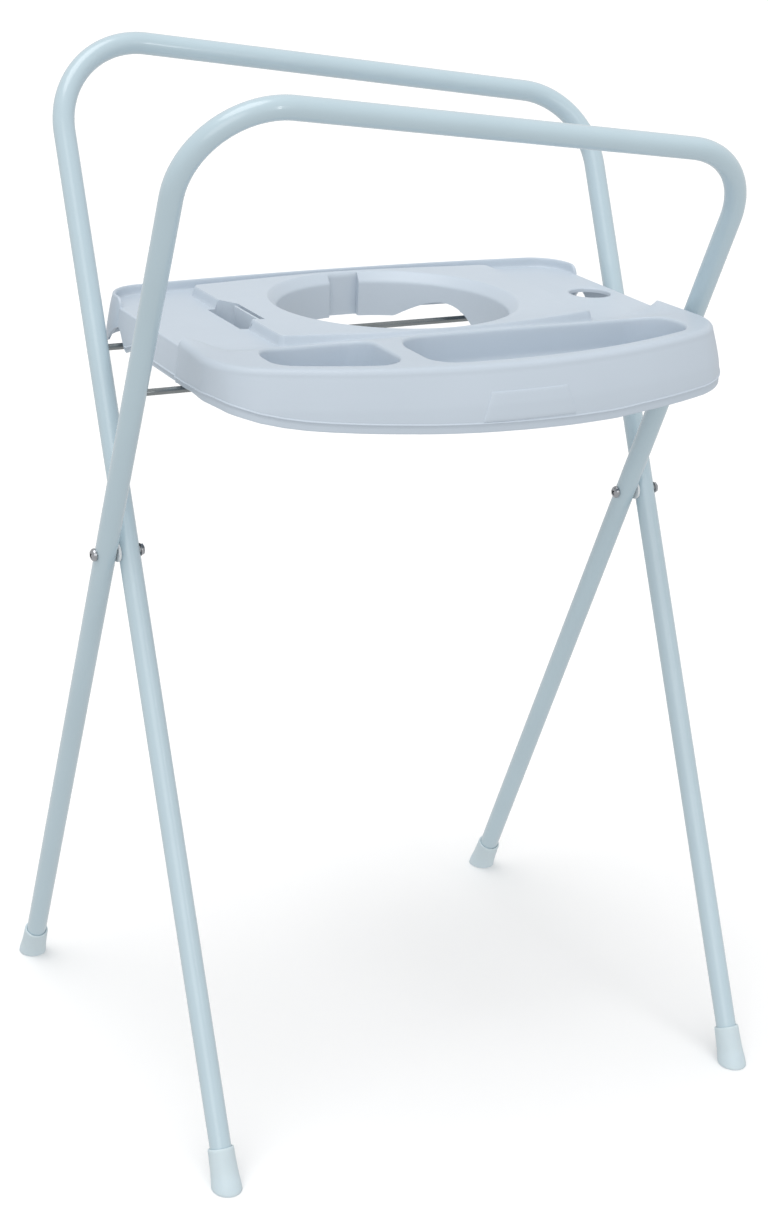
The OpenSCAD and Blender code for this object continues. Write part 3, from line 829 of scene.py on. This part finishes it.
for s in (-1, 1):
    parts.append(rib(s * 127.0, 734.0, -106.0, 110.0))
parts.append(rib(-198.0, 734.0, -106.0, 132.0))
# the right outer rib stops short of the small hole
parts.append(rib(198.0, 734.0, -106.0, -4.0))
parts.append(rib(198.0, 734.0, 29.0, 132.0))


def cylinder(cx, cy, z0, z1, r, hole=0.0, seg=40):
    vs, fs = [], []
    ring_ = [(math.cos(2 * math.pi * k / seg), math.sin(2 * math.pi * k / seg)) for k in range(seg)]
    prof_ = [(r, z0 + 0.4), (r, z1)] if not hole else None
    for rr, z in ([(r - 0.4, z0), (r, z0 + 0.4), (r, z1)] if not hole else [(hole, z0), (r - 0.4, z0), (r, z0 + 0.4), (r, z1), (hole, z1)]):
        vs += [(cx + rr * a, cy + rr * b, z) for a, b in ring_]
    m = len(vs) // seg
    for i in range(m - 1):
        for k in range(seg):
            fs.append((i * seg + k, i * seg + (k + 1) % seg, (i + 1) * seg + (k + 1) % seg, (i + 1) * seg + k))
    if hole:
        for k in range(seg):
            fs.append(((m - 1) * seg + k, (m - 1) * seg + (k + 1) % seg, (k + 1) % seg, k))
    else:
        fs.append(tuple(range(seg))[::-1])
        fs.append(tuple((m - 1) * seg + k for k in range(seg)))
    return vs, fs


for s in (-1, 1):
    parts.append(cylinder(s * 127.0, -ROD_Y - 13, 713.0, 737.0, 4.4, 1.75))


# blank raised panel on the front
def panel():
    us = np.concatenate([[-1.0, -0.985, -0.965], np.linspace(-0.9, 0.9, 27), [0.965, 0.985, 1.0]])
    ts = np.concatenate([[0.0, 0.02, 0.05], np.linspace(0.12, 0.9, 11), [0.95, 0.98, 1.0]])
    lift_u = np.interp(np.abs(us), [0, 0.962, 0.987, 1.0], [1, 1, 0.6, -0.5])
    lift_t = np.interp(ts, [0, 0.022, 0.055, 0.945, 0.98, 1.0], [-0.5, 0.6, 1, 1, 0.6, -0.5])
    vs, fs = [], []
    for back in (0, 1):
        for j, t in enumerate(ts):
            z = 697.6 + (723 - 697.6) * t
            w = 46.2 + (37.5 - 46.2) * t
            for i, u in enumerate(us):
                x = 8 + u * w
                a = -math.pi / 2 + math.asin(x / (BOW_R + 10))
                e = flare(z) - flare(738.7) + (min(lift_u[i], lift_t[j]) * 0.8 if not back else -1.4)
                r = BOW_R + e
                vs.append((r * math.cos(a), BOW_Y + r * math.sin(a), z))
    n, m = len(us), len(ts)
    for j in range(m - 1):
        for i in range(n - 1):
            a = j * n + i
            fs.append((a, a + 1, a + n + 1, a + n))
            b = n * m + a
            fs.append((b, b + n, b + n + 1, b + 1))
    rim = [i for i in range(n)] + [j * n + n - 1 for j in range(1, m)] + [(m - 1) * n + i for i in range(n - 2, -1, -1)] + [j * n for j in range(m - 2, 0, -1)]
    for k in range(len(rim)):
        a, b = rim[k], rim[(k + 1) % len(rim)]
        fs.append((a, n * m + a, n * m + b, b))
    return vs, fs


parts.append(panel())
av, af = [], []
for vs, fs in parts:
    k0 = len(av)
    av += list(vs)
    af += [tuple(i + k0 for i in f) for f in fs]
inner = new_object("tray_ribs", av, af, "tray", M_TRAY, 30)
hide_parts("tray_moulding")

# ------------------------------------------------------------------ floor, light and camera
bpy.ops.mesh.primitive_plane_add(size=60.0, location=(0, 0, -0.0004))
floor = bpy.context.object
floor.name = "floor"
mf = bpy.data.materials.new("floor")
mf.use_nodes = True
bf = mf.node_tree.nodes["Principled BSDF"]
bf.inputs["Base Color"].default_value = (0.96, 0.96, 0.96, 1)
bf.inputs["Roughness"].default_value = 0.9
bf.inputs["Specular IOR Level"].default_value = 0.1
floor.data.materials.append(mf)
floor.visible_diffuse = False      # the floor takes the shadows and gives no bounce, as in the photograph
floor.visible_glossy = False

world = bpy.data.worlds.new("studio")
world.use_nodes = True
bg = world.node_tree.nodes["Background"]
bg.inputs["Color"].default_value = (1.0, 1.0, 1.0, 1)
bg.inputs["Strength"].default_value = 0.72
bpy.context.scene.world = world


def sun(name, direction, energy, angle):
    l = bpy.data.lights.new(name, "SUN")
    l.energy = energy
    l.angle = math.radians(angle)
    o = bpy.data.objects.new(name, l)
    o.rotation_euler = Vector(direction).to_track_quat("-Z", "Y").to_euler()
    bpy.context.scene.collection.objects.link(o)
    return o


def area(name, loc, target, size, energy, ratio=1.0):
    l = bpy.data.lights.new(name, "AREA")
    l.shape = "RECTANGLE"
    l.size = size
    l.size_y = size * ratio
    l.energy = energy
    o = bpy.data.objects.new(name, l)
    o.location = loc
    o.rotation_euler = (Vector(target) - Vector(loc)).to_track_quat("-Z", "Y").to_euler()
    bpy.context.scene.collection.objects.link(o)
    return o


sun("key", (0.22, 0.12, -1.0), 1.28, 46)
sun("front", (0.45, 0.80, -0.35), 0.40, 40)
area("strip", (0.7, -2.8, 1.5), (0, 0, 0.7), 0.10, 3.0, 11.0)

cam = bpy.data.cameras.new("view")
cam.sensor_width = 36.0
cam.sensor_fit = "AUTO"
cam.lens = 2310.772 * 36 / 1230
cam.shift_x = (384 - 387.256) / 1230
cam.shift_y = (686.442 - 615) / 1230
cam.clip_start, cam.clip_end = 0.05, 200
yaw, pitch, roll = math.radians(-27.167), math.radians(-22.438), math.radians(2.285)
fwd = Vector((-math.sin(yaw) * math.cos(pitch), math.cos(yaw) * math.cos(pitch), math.sin(pitch)))
right = Vector((math.cos(yaw), math.sin(yaw), 0))
up = right.cross(fwd)
r2 = math.cos(roll) * right + math.sin(roll) * up
u2 = -math.sin(roll) * right + math.cos(roll) * up
mat = Matrix(((r2.x, u2.x, -fwd.x, -0.958668), (r2.y, u2.y, -fwd.y, -1.877321), (r2.z, u2.z, -fwd.z, 1.230675), (0, 0, 0, 1)))
camera = bpy.data.objects.new("view", cam)
camera.matrix_world = mat
bpy.context.scene.collection.objects.link(camera)
bpy.context.scene.camera = camera
vs_ = bpy.context.scene.view_settings
vs_.view_transform = "Standard"
vs_.look = "None"
vs_.exposure = 0.0
vs_.gamma = 1.0
